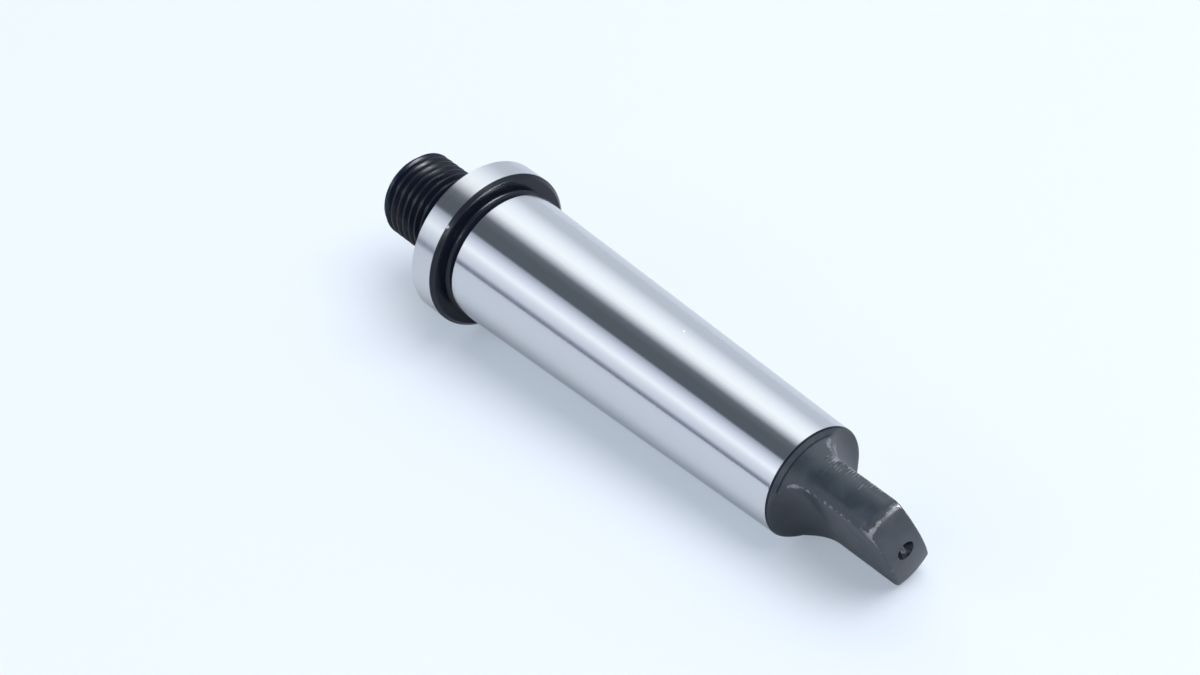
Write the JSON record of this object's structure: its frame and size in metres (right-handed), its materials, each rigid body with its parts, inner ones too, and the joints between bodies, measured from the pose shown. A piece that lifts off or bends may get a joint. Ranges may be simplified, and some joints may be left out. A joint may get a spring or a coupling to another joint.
{
  "type": "drill chuck arbor",
  "caption": "One-piece steel arbor: short threaded nose and collar for a drill chuck, ground Morse taper shank and flattened drive tang.",
  "frame": {"origin": "centre of the flat end of the threaded nose, where the arbor stands", "axes": "+Z along the arbor's axis from the threaded nose to the tang, X across the width of the tang, Y through its thickness"},
  "size_m": [0.0293, 0.0292, 0.1227],
  "materials": {
    "steel": "taper and collar rim ground bright, nose, neck, chamfers and tang black oxide with worn edges"
  },
  "bodies": {
    "root": {"chuck_arbor": "steel"}
  },
  "joints": []
}
